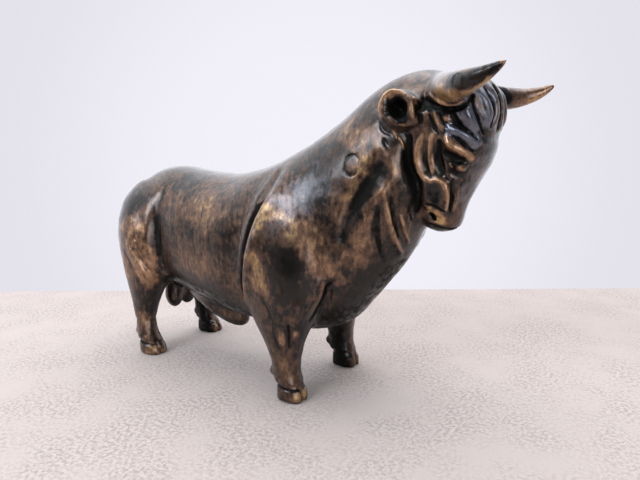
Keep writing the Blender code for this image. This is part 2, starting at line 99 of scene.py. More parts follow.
BROW_STROKES = (
    (0.07, -0.06, -1.0, ((6.98, 1.03, 7.22), (7.16, 0.97, 7.16), (7.29, 0.90, 7.08), (7.42, 0.81, 6.98),
                         (7.53, 0.70, 6.86))),
    (0.14, 0.05, -0.3, ((7.05, 1.02, 7.08), (7.24, 0.96, 7.01), (7.42, 0.84, 6.88), (7.56, 0.67, 6.77))),
    (0.06, -0.06, -1.0, ((7.08, 1.00, 6.94), (7.25, 0.93, 6.84), (7.37, 0.82, 6.70), (7.47, 0.69, 6.60))),
    (0.13, -0.08, -1.0, ((6.90, 0.92, 6.60), (7.02, 0.88, 6.50), (7.14, 0.84, 6.42), (7.28, 0.76, 6.36))),
    (0.26, -0.05, -1.0, ((7.12, 0.78, 6.28), (7.28, 0.70, 6.24))),
    (0.15, 0.06, 1.0, ((6.98, 1.03, 6.92), (7.04, 1.02, 6.76), (7.19, 0.95, 6.66), (7.34, 0.84, 6.57),
                       (7.48, 0.73, 6.44))),
    (0.07, 0.03, 0.3, ((6.92, 0.88, 6.34), (6.97, 0.82, 6.10), (7.12, 0.72, 5.98), (7.30, 0.60, 5.95))),
    (0.04, 0.03, 0.9, ((7.02, 0.86, 6.34), (7.05, 0.84, 6.24))),
    (0.05, -0.03, -0.7, ((7.26, 0.58, 5.98), (7.20, 0.56, 5.80))),
)
CHEEK_STROKES = (
    (0.18, -0.08, -1.0, ((6.08, 0.92, 6.90), (6.03, 0.84, 6.52), (6.07, 0.78, 6.23), (6.18, 0.70, 5.93),
                         (6.23, 0.62, 5.60), (6.12, 0.54, 5.24))),
    (0.12, 0.018, 0.9, ((6.40, 1.00, 6.96), (6.27, 0.95, 6.60), (6.24, 0.90, 6.30), (6.36, 0.86, 6.06),
                        (6.58, 0.86, 5.93))),
    (0.07, -0.04, -0.7, ((6.49, 1.00, 6.80), (6.41, 0.95, 6.50), (6.45, 0.90, 6.22), (6.57, 0.86, 6.06))),
    (0.11, 0.015, 0.9, ((6.63, 1.00, 6.95), (6.56, 0.95, 6.68), (6.57, 0.90, 6.42), (6.62, 0.86, 6.16))),
    (0.13, -0.06, -0.9, ((6.80, 0.98, 6.80), (6.76, 0.86, 6.45), (6.84, 0.78, 6.12))),
    (0.08, 0.02, 1.0, ((6.54, 0.90, 5.96), (6.76, 0.87, 5.98), (6.92, 0.82, 5.85), (6.97, 0.74, 5.58),
                       (6.88, 0.60, 5.29))),
    (0.24, -0.03, -0.6, ((6.62, 0.85, 5.78), (6.68, 0.80, 5.48))),
    (0.07, -0.05, -0.9, ((7.06, 0.74, 5.98), (7.03, 0.66, 5.78), (7.01, 0.57, 5.50), (6.94, 0.50, 5.24))),
    (0.06, 0.02, 0.5, ((7.14, 0.56, 5.80), (7.09, 0.52, 5.52), (7.00, 0.44, 5.26))),
    (0.05, 0.03, 0.9, ((5.70, 1.06, 7.12), (5.81, 1.04, 6.90))),
    (0.05, 0.03, 0.9, ((5.87, 1.00, 6.92), (5.95, 0.92, 6.66))),
    (0.08, -0.025, -0.6, ((5.52, 1.10, 6.88), (5.62, 1.09, 6.70))),
    (0.06, 0.03, 0.7, ((6.84, 1.08, 7.46), (6.97, 1.04, 7.28), (7.05, 0.98, 7.20))),
    (0.06, 0.03, 0.7, ((6.68, 1.05, 7.42), (6.77, 1.04, 7.20), (6.90, 1.03, 7.04))),
    (0.06, -0.04, -0.8, ((6.58, 1.04, 7.38), (6.66, 1.04, 7.16), (6.78, 1.03, 6.98))),
    (0.05, -0.04, -0.8, ((6.78, 1.06, 7.44), (6.88, 1.04, 7.24), (6.98, 1.02, 7.10))),
)
MUZZLE_STROKES = (
    (0.07, -0.04, -0.8, ((6.45, 0.70, 5.42), (6.62, 0.71, 5.38), (6.82, 0.60, 5.27))),
    (0.07, -0.12, -1.0, ((6.48, 0.56, 5.19), (6.54, 0.53, 5.11), (6.58, 0.52, 5.04))),
    (0.05, -0.04, -0.9, ((6.35, 0.46, 4.94), (6.58, 0.49, 4.90), (6.76, 0.41, 4.83), (6.92, 0.20, 4.80),
                         (6.96, 0.00, 4.80))),
    (0.08, 0.02, 0.8, ((6.60, 0.60, 5.26), (6.74, 0.52, 5.16), (6.80, 0.44, 5.00))),
)
NECK_STROKES = (
    (0.15, 0.008, 0.5, ((5.50, 1.18, 6.68), (5.67, 1.16, 6.46), (5.79, 1.13, 6.24), (5.79, 1.13, 6.01),
                       (5.66, 1.20, 5.78), (5.40, 1.24, 5.55), (5.18, 1.26, 5.24), (5.03, 1.29, 4.87))),
    (0.11, 0.015, 0.7, ((5.62, 1.21, 5.66), (5.66, 1.11, 5.27), (5.71, 1.03, 4.91), (5.75, 0.83, 4.53),
                       (5.74, 0.42, 4.13))),
    (0.08, -0.03, -0.7, ((5.76, 1.10, 5.55), (5.80, 0.95, 5.05), (5.83, 0.72, 4.60))),
    (0.07, 0.02, 0.8, ((5.88, 0.86, 5.12), (5.90, 0.70, 4.77), (5.88, 0.37, 4.40))),
    (0.06, 0.02, 0.5, ((6.02, 0.70, 5.16), (6.03, 0.60, 4.86))),
    (0.16, -0.015, -0.7, ((5.52, 1.12, 6.30), (5.25, 1.13, 6.00), (5.02, 1.17, 5.66), (4.84, 1.21, 5.35),
                         (4.67, 1.26, 4.93), (4.58, 1.30, 4.49))),
    (0.13, -0.02, -0.6, ((5.43, 1.16, 5.33), (5.37, 1.12, 4.90), (5.38, 0.97, 4.40), (5.39, 0.72, 3.93))),
    (0.11, 0.015, 0.5, ((5.30, 1.20, 5.20), (5.12, 1.15, 4.76), (4.98, 1.10, 4.25), (5.00, 0.96, 3.80))),
    (0.12, -0.02, -0.6, ((4.76, 1.20, 3.95), (4.55, 1.17, 3.59), (4.26, 1.18, 3.17))),
    (0.10, 0.015, 0.5, ((4.62, 1.25, 4.20), (4.40, 1.30, 3.75), (4.20, 1.30, 3.40))),
)
BODY_STROKES = (
    (0.16, -0.03, -0.9, ((2.36, 1.55, 5.60), (2.00, 1.60, 5.00), (1.80, 1.66, 4.40), (1.64, 1.68, 3.80),
                         (1.50, 1.65, 3.15), (1.46, 1.60, 2.60))),
    (0.16, 0.025, 0.4, ((2.66, 1.60, 5.50), (2.42, 1.75, 5.05), (2.22, 1.90, 4.40), (2.06, 1.95, 3.80),
                        (1.93, 1.95, 3.20), (1.90, 1.90, 2.70))),
    (0.12, 0.02, 0.6, ((4.05, 1.41, 3.34), (3.94, 1.38, 2.98), (3.78, 1.47, 2.69), (3.60, 1.55, 2.40))),
    (0.12, -0.03, -0.9, ((4.20, 1.30, 3.30), (4.10, 1.28, 2.95), (3.92, 1.32, 2.60), (3.70, 1.42, 2.28))),
)
HAUNCH_STROKES = (
    (0.20, -0.012, -0.5, ((-2.07, 1.30, 5.40), (-2.13, 1.45, 5.00), (-2.13, 1.50, 4.48), (-2.11, 1.50, 3.92),
                          (-2.12, 1.45, 3.40), (-2.16, 1.35, 2.95))),
    (0.24, 0.008, 0.15, ((-2.46, 1.45, 5.15), (-2.40, 1.65, 4.70), (-2.36, 1.75, 4.20), (-2.33, 1.72, 3.70),
                        (-2.30, 1.60, 3.20))),
    (0.10, -0.02, -0.7, ((-2.90, 1.95, 3.78), (-2.66, 1.85, 3.42), (-2.48, 1.70, 3.05), (-2.40, 1.50, 2.75))),
    (0.12, 0.025, 0.7, ((-3.06, 1.96, 3.80), (-2.82, 1.92, 3.38), (-2.62, 1.78, 2.98), (-2.48, 1.60, 2.60))),
    (0.11, 0.025, 0.6, ((-2.74, 1.92, 3.84), (-2.54, 1.80, 3.42), (-2.38, 1.62, 3.00), (-2.31, 1.45, 2.70))),
    (0.10, -0.015, -0.5, ((-3.20, 1.92, 3.55), (-3.00, 1.92, 3.18), (-2.80, 1.80, 2.80))),
    (0.08, -0.015, -0.5, ((-2.90, 1.46, 1.75), (-2.95, 1.45, 1.30), (-2.90, 1.46, 0.90))),
)
LEG_STROKES = (
    (0.14, 0.03, 0.7, ((3.05, 1.86, 1.98), (3.04, 1.82, 1.70))),
    (0.12, 0.03, 0.7, ((3.38, 1.68, 2.04), (3.32, 1.64, 1.78))),
    (0.06, -0.04, -0.8, ((3.25, 1.82, 2.22), (3.20, 1.75, 1.90), (3.18, 1.71, 1.58))),
    (0.07, -0.02, -0.5, ((2.84, 1.93, 2.10), (2.86, 1.88, 1.78), (2.94, 1.82, 1.52))),
    (0.07, -0.02, -0.4, ((2.56, 1.98, 2.90), (2.80, 1.97, 2.50), (2.86, 1.94, 2.20))),
)

# Where the patina is rubbed or grimy with no relief, as tint, yellowness, radius and path.
PATCHES = (
    (0.45, 0.1, 0.55, ((6.75, 1.25, 7.90), (7.20, 1.55, 7.95), (7.80, 2.00, 7.90), (8.35, 2.18, 8.05))),
    (1.0, 0.4, 0.30, ((6.95, 1.58, 7.74), (7.34, 1.86, 7.66), (7.64, 2.02, 7.68), (7.90, 2.13, 7.77),
                      (8.15, 2.17, 7.88))),
    (-0.6, 0.0, 0.20, ((7.40, 2.02, 7.93), (7.68, 2.20, 7.90), (7.94, 2.26, 7.94), (8.18, 2.27, 8.01),
                       (8.30, 2.24, 8.06))),
    (0.8, 0.0, 0.13, ((7.75, 1.70, 7.74), (7.98, 1.91, 7.81), (8.20, 2.05, 7.93), (8.38, 2.14, 8.07))),
    (-1.0, 0.0, 0.20, ((7.50, 1.25, 8.00), (7.58, 1.38, 7.84))),
    (-1.0, 0.0, 0.20, ((6.42, 1.00, 7.62), (6.65, 1.07, 7.60), (6.82, 1.08, 7.50))),
    (-0.9, 0.0, 0.26, ((5.40, 1.14, 6.10), (5.10, 1.16, 5.70), (4.86, 1.21, 5.25), (4.66, 1.27, 4.70))),
    (1.0, 0.6, 0.17, ((6.50, 0.62, 5.26), (6.64, 0.58, 5.16), (6.74, 0.50, 5.06))),
    (0.4, 0.8, 0.38, ((4.50, 0.99, 7.11), (4.85, 1.12, 6.87), (5.10, 1.10, 6.98))),
    (0.4, 0.7, 0.30, ((4.90, 1.15, 6.80), (5.08, 1.18, 6.50), (5.14, 1.20, 6.20))),
    (-0.3, 0.0, 0.90, ((4.20, 1.30, 6.20), (4.00, 1.35, 5.90))),
    (0.5, 0.2, 0.14, ((4.90, 1.24, 6.20), (4.90, 1.26, 5.90), (4.72, 1.27, 5.60), (4.55, 1.30, 5.30))),
    (0.75, 0.7, 0.50, ((2.40, 1.88, 5.02), (2.70, 1.86, 4.80), (3.10, 1.85, 4.62))),
    (0.75, 0.6, 0.36, ((2.20, 2.06, 3.81), (2.42, 2.03, 3.48), (2.58, 2.04, 3.16))),
    (-0.4, 0.0, 0.60, ((2.97, 1.95, 4.44), (3.20, 1.94, 3.91), (3.30, 1.91, 3.20))),
    (-0.7, 0.0, 0.34, ((3.26, 1.94, 3.91), (3.28, 1.94, 3.80))),
    (0.55, 0.1, 0.40, ((3.68, 1.74, 4.70), (3.90, 1.60, 4.10), (4.05, 1.50, 3.70))),
    (0.4, 0.0, 0.36, ((4.41, 1.42, 5.35), (4.66, 1.25, 4.99), (4.90, 1.19, 4.51), (4.81, 1.14, 3.94))),
    (0.6, 0.2, 0.25, ((4.26, 1.40, 3.78), (4.41, 1.18, 3.44))),
    (0.3, 0.2, 0.60, ((-2.0, 1.45, 5.00), (-0.65, 1.50, 4.85), (0.40, 1.50, 4.85))),
    (0.2, 0.0, 0.60, ((-1.20, 1.60, 4.20), (-0.60, 1.65, 3.70), (0.30, 1.65, 3.20))),
    (0.25, 0.1, 0.22, ((3.02, 1.74, 1.08), (3.05, 1.74, 0.70))),
    (0.5, 0.2, 0.20, ((-3.00, 1.55, 1.35), (-2.95, 1.52, 0.95))),
    (0.5, 0.4, 0.30, ((3.38, 1.60, 0.12), (3.40, 1.20, 0.12))),
    (0.5, 0.4, 0.30, ((-2.60, 1.60, 0.12), (-2.50, 1.20, 0.12))),
    (-0.2, 0.0, 0.90, ((-2.98, 1.60, 4.85), (-3.10, 1.70, 4.30))),
    (0.8, 0.1, 0.60, ((-2.85, 1.85, 4.00), (-2.62, 1.80, 3.40), (-2.48, 1.70, 2.80))),
    (0.4, 0.1, 0.70, ((-2.90, 1.60, 4.20), (-3.30, 1.75, 3.60), (-3.20, 1.75, 2.70))),
)

# Painted sheen and highlights: where a silvery reflection of the lights is painted into the patina's colour,
# as share, radius and path.
PAINTED_SHEEN_PLACES = (
    (0.9, 0.34, ((7.36, 0.94, 7.72), (7.36, 0.95, 7.42), (7.50, 0.82, 7.12))),
    (0.9, 0.26, ((7.58, 0.72, 7.84), (7.66, 0.60, 7.58), (7.74, 0.50, 7.28))),
    (0.7, 0.24, ((7.76, 0.36, 7.94), (7.85, 0.32, 7.60), (7.87, 0.32, 7.22))),
    (0.9, 0.20, ((7.05, 1.02, 7.08), (7.24, 0.96, 7.01), (7.42, 0.84, 6.88), (7.56, 0.67, 6.77))),
    (0.5, 0.34, ((7.62, 0.40, 6.60), (7.48, 0.40, 6.00), (7.28, 0.35, 5.60))),
    (0.36, 0.85, ((2.95, 1.80, 5.20), (3.40, 1.75, 5.50), (3.80, 1.70, 5.80))),
    (0.4, 0.22, ((2.66, 1.60, 5.50), (2.42, 1.75, 5.05), (2.22, 1.90, 4.40), (2.06, 1.95, 3.80),
                 (1.93, 1.95, 3.20))),
    (0.5, 0.30, ((6.75, 1.25, 8.05), (7.20, 1.50, 8.05), (7.70, 1.85, 8.05))),
    (0.5, 0.30, ((5.45, 1.24, 7.40), (5.60, 1.18, 7.15))),
)

# Places where the facets and strokes of the solid are smoothed before the fine tool, as centre
# (x, outwards, z), radius and passes.
CALM_PLACES = (
    ((7.70, 0.40, 7.60), 1.00, 70),
    ((7.00, 0.90, 6.80), 0.95, 24),
    ((6.80, 0.50, 5.30), 0.70, 30),
    ((7.22, 0.76, 6.34), 0.55, 110),
    ((6.30, 0.90, 6.20), 0.90, 20),
    ((5.50, 1.10, 5.90), 1.40, 60),
    ((-2.60, 1.60, 4.00), 2.00, 110),
    ((-2.30, 1.40, 5.05), 1.20, 260),
    ((-3.00, 1.60, 4.70), 1.30, 260),
    ((2.90, 1.75, 5.00), 1.10, 60),
    ((3.00, 1.50, 0.60), 0.90, 16),
    ((-2.80, 1.40, 0.60), 0.90, 16),
)

EYE = (7.22, 0.76, 6.29)
EYE_LENGTH = (0.06, 0, -0.02)
EYE_RADIUS = 0.15
EYE_HEIGHT = 0.11
PLUG_CENTRE = (4.76, 1.26, 6.29)
PLUG_RADII = (0.20, 0.26)
FRONT_HOOF = (3.03, 1.40)  # x and outwards
REAR_HOOF = (-2.90, 1.30)
HOOF_RADIUS = 0.46
TOE_REACH = 0.5
FLANK_STREAKS = 34
FLANK_START = -1.75
FLANK_STEP = 0.095
FLANK_LEVEL = 4.30


def spline(rows, count):
    """Catmull-Rom through the rows of numbers, as count evenly spread rows."""
    rows = np.asarray(rows, float)
    padded = np.vstack([2 * rows[0] - rows[1], rows, 2 * rows[-1] - rows[-2]])
    at = np.linspace(0, len(rows) - 1, count)
    span = np.minimum(at.astype(int), len(rows) - 2)
    t = (at - span)[:, None]
    a, b, c, d = (padded[span + k] for k in range(4))
    return 0.5 * (2 * b + (c - a) * t + (2 * a - 5 * b + 4 * c - d) * t**2
                  + (3 * b - a - 3 * c + d) * t**3)


class Skin:
    """A surface as arrays, in units, so that it can be worked like wax."""

    def __init__(self, mesh):
        self.mesh = mesh
        flat = np.empty(len(mesh.vertices) * 3, np.float32)
        mesh.vertices.foreach_get("co", flat)
        self.points = (flat.reshape(-1, 3).astype(float) - [MIDDLE_X, 0, 0]) / UNIT
        ends = np.empty(len(mesh.edges) * 2, np.int32)
        mesh.edges.foreach_get("vertices", ends)
        self.ends = ends.reshape(-1, 2)
        self.degree = np.bincount(self.ends.ravel(), minlength=len(self.points))[:, None]
        self.gold = np.zeros(len(self.points))
        self.dark = np.zeros(len(self.points))
        self.yellow = np.zeros(len(self.points))
        # painted sheen: where silvery highlights and reflections are painted
        self.pale = np.zeros(len(self.points))

    def write(self):
        """Puts the points back into the mesh."""
        flat = self.points * UNIT + [MIDDLE_X, 0, 0]
        self.mesh.vertices.foreach_set("co", flat.astype(np.float32).ravel())
        self.mesh.update()

    def normals(self):
        self.write()
        flat = np.empty(len(self.points) * 3, np.float32)
        self.mesh.vertex_normals.foreach_get("vector", flat)
        return flat.reshape(-1, 3).astype(float)

    def around_mean(self, values):
        """The mean of the neighbours' values, for each point."""
        total = np.zeros_like(values)
        for k in range(values.shape[1]):
            column = values[:, k]
            total[:, k] = (np.bincount(self.ends[:, 0], column[self.ends[:, 1]], len(column))
                           + np.bincount(self.ends[:, 1], column[self.ends[:, 0]], len(column)))
        return total / self.degree

    def relax(self, passes, strength=0.5):
        for _ in range(passes):
            self.points += strength * (self.around_mean(self.points) - self.points)

    def smooth(self, passes):
        """Takes out small bumps and keeps the volume."""
        for _ in range(passes):
            self.points += 0.5 * (self.around_mean(self.points) - self.points)
            self.points -= 0.52 * (self.around_mean(self.points) - self.points)

    def calm(self, places):
        """Relaxes the skin round each place, most at its centre."""
        at = self.points * [1, 0, 1] + np.abs(self.points * [0, 1, 0])
        to = self.ends.ravel()
        source = self.ends[:, ::-1].ravel()
        done = 0
        for passes in sorted({row[2] for row in places}):
            weight = np.zeros(len(self.points))
            for centre, radius, wanted in places:
                if wanted >= passes:
                    gap = np.linalg.norm(at - centre, axis=1)
                    weight = np.maximum(weight, np.clip(1.5 * (1 - gap / radius), 0, 1))
            busy = np.flatnonzero(weight)
            place_of = np.full(len(self.points), -1)
            place_of[busy] = np.arange(len(busy))
            kept = place_of[to] >= 0
            near_to, near_source = place_of[to[kept]], source[kept]
            for _ in range(passes - done):
                total = [np.bincount(near_to, self.points[near_source, k], len(busy)) for k in range(3)]
                mean = np.stack(total, axis=1) / self.degree[busy]
                self.points[busy] += 0.5 * weight[busy, None] * (mean - self.points[busy])
            done = passes

    def guide(self):
        """The skin as it is now, to be searched."""
        self.write()
        faces = [face.vertices[:] for face in self.mesh.polygons]
        return BVHTree.FromPolygons(self.points.tolist(), faces)

    def near(self, places, radius):
        """The points within a box round a run of places, and their gaps to each place."""
        inside = (self.points > places.min(0) - radius) & (self.points < places.max(0) + radius)
        found = np.flatnonzero(inside.all(1))
        return found, self.points[found, None] - places

    def press(self, places, facing, half_width, strength, normal):
        """Pushes the skin along its facing, and gives back how far into the stroke a point is."""
        reach = half_width.max() + abs(strength).max() * 2
        found, gap = self.near(places, reach)
        depth = (gap * facing).sum(2)
        beside = np.linalg.norm(gap - depth[..., None] * facing, axis=2)
        beside[np.abs(depth) > half_width.max() + 0.05] = np.inf
        closest = beside.argmin(1)
        share = beside[np.arange(len(found)), closest] / half_width[closest]
        faces_it = (normal[found] * facing[closest]).sum(1) > 0
        weight = np.where(faces_it & (share < 1), (1 - np.minimum(share, 1) ** 2) ** 2, 0)
        self.points[found] += (weight * strength[closest])[:, None] * facing[closest]
        return found, weight

    def tint(self, found, weight, tint, yellow=0.0):
        """Rubs or soils the points found. What comes later covers what was there."""
        mine, other = (self.gold, self.dark) if tint > 0 else (self.dark, self.gold)
        share = np.minimum(weight * 1.8, 1) * abs(tint)
        mine[found] = np.maximum(mine[found], share)
        other[found] *= 1 - share
        self.yellow[found] = np.maximum(self.yellow[found], weight * yellow)


def on_skin(guide, path, side):
    """A path of (x, outwards, z) brought to the nearest skin, and the way the skin faces there."""
    path = np.asarray(path, float) * [1, side, 1]
    length = np.linalg.norm(np.diff(path, axis=0), axis=1).sum()
    places, facing = [], []
    for point in spline(path, max(4, int(length / STROKE_STEP))):
        place, normal, _, _ = guide.find_nearest(Vector(point))
        places.append(place)
        facing.append(normal)
    places, facing = np.array(places), np.array(facing)
    for _ in range(4):
        facing[1:-1] = facing[:-2] + facing[1:-1] + facing[2:]
        facing /= np.linalg.norm(facing, axis=1)[:, None]
    return places, facing


def carve(skin, guide, normal, rows, sides=BOTH_SIDES):
    """Cuts each row's stroke, tapered at its ends, and rubs or soils it."""
    for half_width, height, tint, path in rows:
        for side in sides:
            places, facing = on_skin(guide, path, side)
            fade = np.sin(np.linspace(0.06, 0.94, len(places)) * math.pi) ** 0.6
            uneven = np.array([1 + HAND_SWAY * noise.noise(Vector(place) * 3.1) for place in places])
            widths = half_width * (0.55 + 0.45 * fade) * uneven
            found, weight = skin.press(places, facing, widths, height * fade * uneven, normal)
            skin.tint(found, weight, tint)


def ring(centre, half_sizes, count=24):
    """A closed ellipse in the side view, as a path of (x, outwards, z)."""
    x, out, z = centre
    turn = np.linspace(0, 2 * math.pi, count)
    return [(x + half_sizes[0] * math.cos(a), out, z + half_sizes[1] * math.sin(a)) for a in turn]


def hoof_ring(hoof, level, count=24):
    """A closed circle round a hoof at a level, as a path."""
    x, out = hoof
    turn = np.linspace(0, 2 * math.pi, count)
    return [(x + HOOF_RADIUS * math.cos(a), out + HOOF_RADIUS * math.sin(a), level) for a in turn]


def with_modifier(mesh, kind, **settings):
    """The mesh after one modifier."""
    obj = bpy.data.objects.new("scratch", mesh)
    bpy.context.scene.collection.objects.link(obj)
    modifier = obj.modifiers.new("step", kind)
    for name, value in settings.items():
        setattr(modifier, name, value)
    graph = bpy.context.evaluated_depsgraph_get()
    result = bpy.data.meshes.new_from_object(obj.evaluated_get(graph))
    bpy.data.objects.remove(obj)
    return result


def fine_copy(node):
    """The CAD node's skin as a rounded and much finer mesh."""
    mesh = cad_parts[node].data.copy()
    work = bmesh.new()
    work.from_mesh(mesh)
    bmesh.ops.remove_doubles(work, verts=work.verts, dist=1e-6)
    work.to_mesh(mesh)
    work.free()
    mesh = with_modifier(mesh, "SUBSURF", levels=2, render_levels=2)
    return with_modifier(mesh, "REMESH", mode="VOXEL", voxel_size=FINE_VOXEL * UNIT)


def press_eyes(skin, guide, normal):
    """Raises the two eyeballs, each along the one way that its surroundings face."""
    for side in BOTH_SIDES:
        place = np.array(EYE) * [1, side, 1]
        hits = [guide.find_nearest(Vector(place + step))
                for step in ((0, 0, 0), (0.12, 0, 0), (-0.12, 0, 0), (0, 0, 0.12), (0, 0, -0.12))]
        facing = sum((hit[1] for hit in hits), Vector()).normalized()
        ends = np.array([hits[0][0], hits[0][0] + Vector(EYE_LENGTH)])
        found, weight = skin.press(ends, np.array([facing, facing]), np.full(2, EYE_RADIUS),
                                   np.full(2, EYE_HEIGHT), normal)
        skin.tint(found, weight, 1.0)
    skin.calm(((EYE, 0.34, 5),))


def carve_hoof(skin, guide, normal, hoof):
    """The coronet's groove and swelling, and the cleft at the toe."""
    toe, out = hoof[0] + TOE_REACH, hoof[1]
    carve(skin, guide, normal, (
        (0.07, -0.025, -0.6, hoof_ring(hoof, 0.42)),
        (0.10, 0.02, 0.0, hoof_ring(hoof, 0.54)),
        (0.05, -0.04, -0.9, ((toe, out, 0.38), (toe + 0.02, out, 0.2), (toe + 0.02, out, 0.0))),
    ))


def carve_flank_streak(skin, guide, normal, k):
    """One of the short dark tool marks that lie scattered over the flank."""
    x = FLANK_START + FLANK_STEP * k + 0.05 * math.sin(5 * k)
    low = FLANK_LEVEL + 0.60 * math.sin(2.4 * k * k)
    high = low + 0.28 + 0.22 * math.sin(3.7 * k + 1)
    streak = ((x - 0.03, 1.60, high), (x, 1.62, (low + high) / 2), (x + 0.02, 1.64, low))
    carve(skin, guide, normal, ((0.05, -0.006, -0.28, streak),))


def patch(skin, guide, path, side, radius):
    """The points of a ragged patch round a path, and how far into it each one is."""
    places, _ = on_skin(guide, path, side)
    found, gap = skin.near(places, radius * 1.3)
    share = np.linalg.norm(gap, axis=2).min(1) / radius
    ragged = np.array([noise.noise(p * 3.4) + 0.7 * noise.noise(p * 9)
                       for p in map(Vector, skin.points[found])])
    return found, np.clip(1 - (share + 0.55 * ragged), 0, 1)


def cast_lumps(skin, normal):
    """Light unevenness of the cast and chased surface."""
    lumps = np.array([noise.noise(p * 1.6) + 0.5 * noise.noise(p * 4.1) for p in map(Vector, skin.points)])
    skin.points += LUMP_HEIGHT * lumps[:, None] * normal
    skin.relax(1, 0.3)


def wear_and_shade_by_relief(skin, normal):
    """Raised places are rubbed and hollows are grimy; undersides and the inner sides of the legs get painted
    shade.
    """
    level = skin.points.copy()
    for _ in range(LEVEL_PASSES):
        level += 0.5 * (skin.around_mean(level) - level)
    raised = ((skin.points - level) * skin.normals()).sum(1)
    bare = 0.45 * np.clip(raised / RUBBED_HEIGHT - 0.3, 0, 1) * np.clip(1 - 2.5 * skin.dark, 0, 1)
    skin.gold = np.clip(np.maximum(skin.gold, bare), 0, 1)
    hollow = np.clip(-raised / GRIMY_DEPTH - 0.25, 0, 1) * (1 - skin.gold)
    # Painted shade: undersides low on the trunk and the inner sides of the legs are darkened where shade
    # falls.
    under_shade = np.clip(-normal[:, 2] * 1.4 - 0.3, 0, 0.8) * np.clip(TRUNK_LEVEL - skin.points[:, 2], 0, 1)
    inner_leg_shade = np.clip(-normal[:, 1] * np.sign(skin.points[:, 1]) * 1.2 - 0.2, 0, 0.7)
    inner_leg_shade *= np.clip(LEG_LEVEL - skin.points[:, 2], 0, 1)
    skin.dark = np.clip(np.maximum(skin.dark, hollow), 0, 1)
    skin.dark = np.maximum(skin.dark, np.maximum(under_shade, inner_leg_shade))


def thinned(skin):
    """The worked mesh with fewer triangles, and its rubbing, grime, painted shade and painted sheen as
    attributes that the patina reads.
    """
    skin.write()
    tree = kdtree.KDTree(len(skin.points))
    for i, point in enumerate(skin.points):
        tree.insert(point, i)
    tree.balance()
    ratio = MOST_TRIANGLES / (2 * len(skin.mesh.polygons))
    mesh = with_modifier(skin.mesh, "DECIMATE", ratio=ratio)
    mesh.shade_smooth()
    source = [tree.find((vert.co - Vector((MIDDLE_X, 0, 0))) / UNIT)[1] for vert in mesh.vertices]
    # The second channel holds the grime and the painted shade together.
    wear_and_shade = mesh.attributes.new("wear_and_shade", "FLOAT_COLOR", "POINT")
    values = np.stack([skin.gold, skin.dark, skin.yellow, np.ones(len(skin.gold))], axis=1)[source]
    wear_and_shade.data.foreach_set("color", values.astype(np.float32).ravel())
    # The painted sheen, as its own attribute.
    pale = mesh.attributes.new("pale", "FLOAT", "POINT")
    pale.data.foreach_set("value", skin.pale[source].astype(np.float32))
    return mesh


skin = Skin(fine_copy("bull"))
skin.smooth(8)
skin.calm(CALM_PLACES)
guide = skin.guide()
normal = skin.normals()
for rows in (EAR_STROKES, HORN_STROKES, FOREHEAD_STROKES, BROW_STROKES, CHEEK_STROKES, MUZZLE_STROKES,
             NECK_STROKES, BODY_STROKES, HAUNCH_STROKES, LEG_STROKES):
    carve(skin, guide, normal, rows)
press_eyes(skin, guide, normal)
plug_mark = (0.04, -0.018, -0.5, ring(PLUG_CENTRE, PLUG_RADII))
carve(skin, guide, normal, (plug_mark,), sides=(-1,))
for hoof in (FRONT_HOOF, REAR_HOOF):
    carve_hoof(skin, guide, normal, hoof)
for k in range(FLANK_STREAKS):
    carve_flank_streak(skin, guide, normal, k)

for tint, yellow, radius, path in PATCHES:
    for side in BOTH_SIDES:
        found, depth = patch(skin, guide, path, side, radius)
        skin.tint(found, np.minimum(1.6 * depth, 1) ** 1.3, tint, yellow)
# Painted sheen: silvery highlights and reflections painted into the patina.
for share, radius, path in PAINTED_SHEEN_PLACES:
    for side in BOTH_SIDES:
        found, depth = patch(skin, guide, path, side, radius)
        skin.pale[found] = np.maximum(skin.pale[found], share * np.minimum(1.8 * depth, 1))

normal = skin.normals()
cast_lumps(skin, normal)
wear_and_shade_by_relief(skin, normal)
mesh = thinned(skin)

bull = bpy.data.objects.new("bull_bronze", mesh)
bpy.context.scene.collection.objects.link(bull)
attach(bull, "root")
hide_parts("bull")


class Nodes:
    """Short names for building a material."""

    def __init__(self, name):
        self.material = bpy.data.materials.new(name)
        self.material.use_nodes = True
        self.tree = self.material.node_tree
        self.shader = self.tree.nodes["Principled BSDF"]

    def add(self, kind, **settings):
        node = self.tree.nodes.new(kind)
        for name, value in settings.items():
            setattr(node, name, value)
        return node

    def join(self, source, target):
        self.tree.links.new(source, target)

    def feed(self, socket, value):
        if isinstance(value, bpy.types.NodeSocket):
            self.join(value, socket)
        else:
            socket.default_value = value

    def noise(self, scale, detail=4.0, roughness=0.55, stretch=(1, 1, 1)):
        coords = self.add("ShaderNodeTexCoord")
        place = self.add("ShaderNodeMapping")
        place.inputs["Scale"].default_value = stretch
        node = self.add("ShaderNodeTexNoise")
        node.inputs["Scale"].default_value = scale
        node.inputs["Detail"].default_value = detail
        node.inputs["Roughness"].default_value = roughness
        self.join(coords.outputs["Object"], place.inputs["Vector"])
        self.join(place.outputs["Vector"], node.inputs["Vector"])
        return node.outputs["Fac"]

    def math(self, kind, a, b=0.0, c=0.0):
        node = self.add("ShaderNodeMath", operation=kind)
        for socket, value in zip(node.inputs, (a, b, c)):
            self.feed(socket, value)
        return node.outputs[0]

    def ramp(self, value, low, high, to_low=0.0, to_high=1.0):
        node = self.add("ShaderNodeMapRange", interpolation_type="SMOOTHSTEP")
        limits = {"From Min": low, "From Max": high, "To Min": to_low, "To Max": to_high}
        for name, number in limits.items():
            node.inputs[name].default_value = number
        self.join(value, node.inputs["Value"])
        return node.outputs["Result"]

    def blend(self, share, a, b):
        node = self.add("ShaderNodeMix", data_type="RGBA")
        self.feed(node.inputs[0], share)
        self.feed(node.inputs[6], a)
        self.feed(node.inputs[7], b)
        return node.outputs[2]


DEEP_BROWN = (0.010, 0.0065, 0.004, 1)
WARM_BROWN = (0.125, 0.064, 0.036, 1)
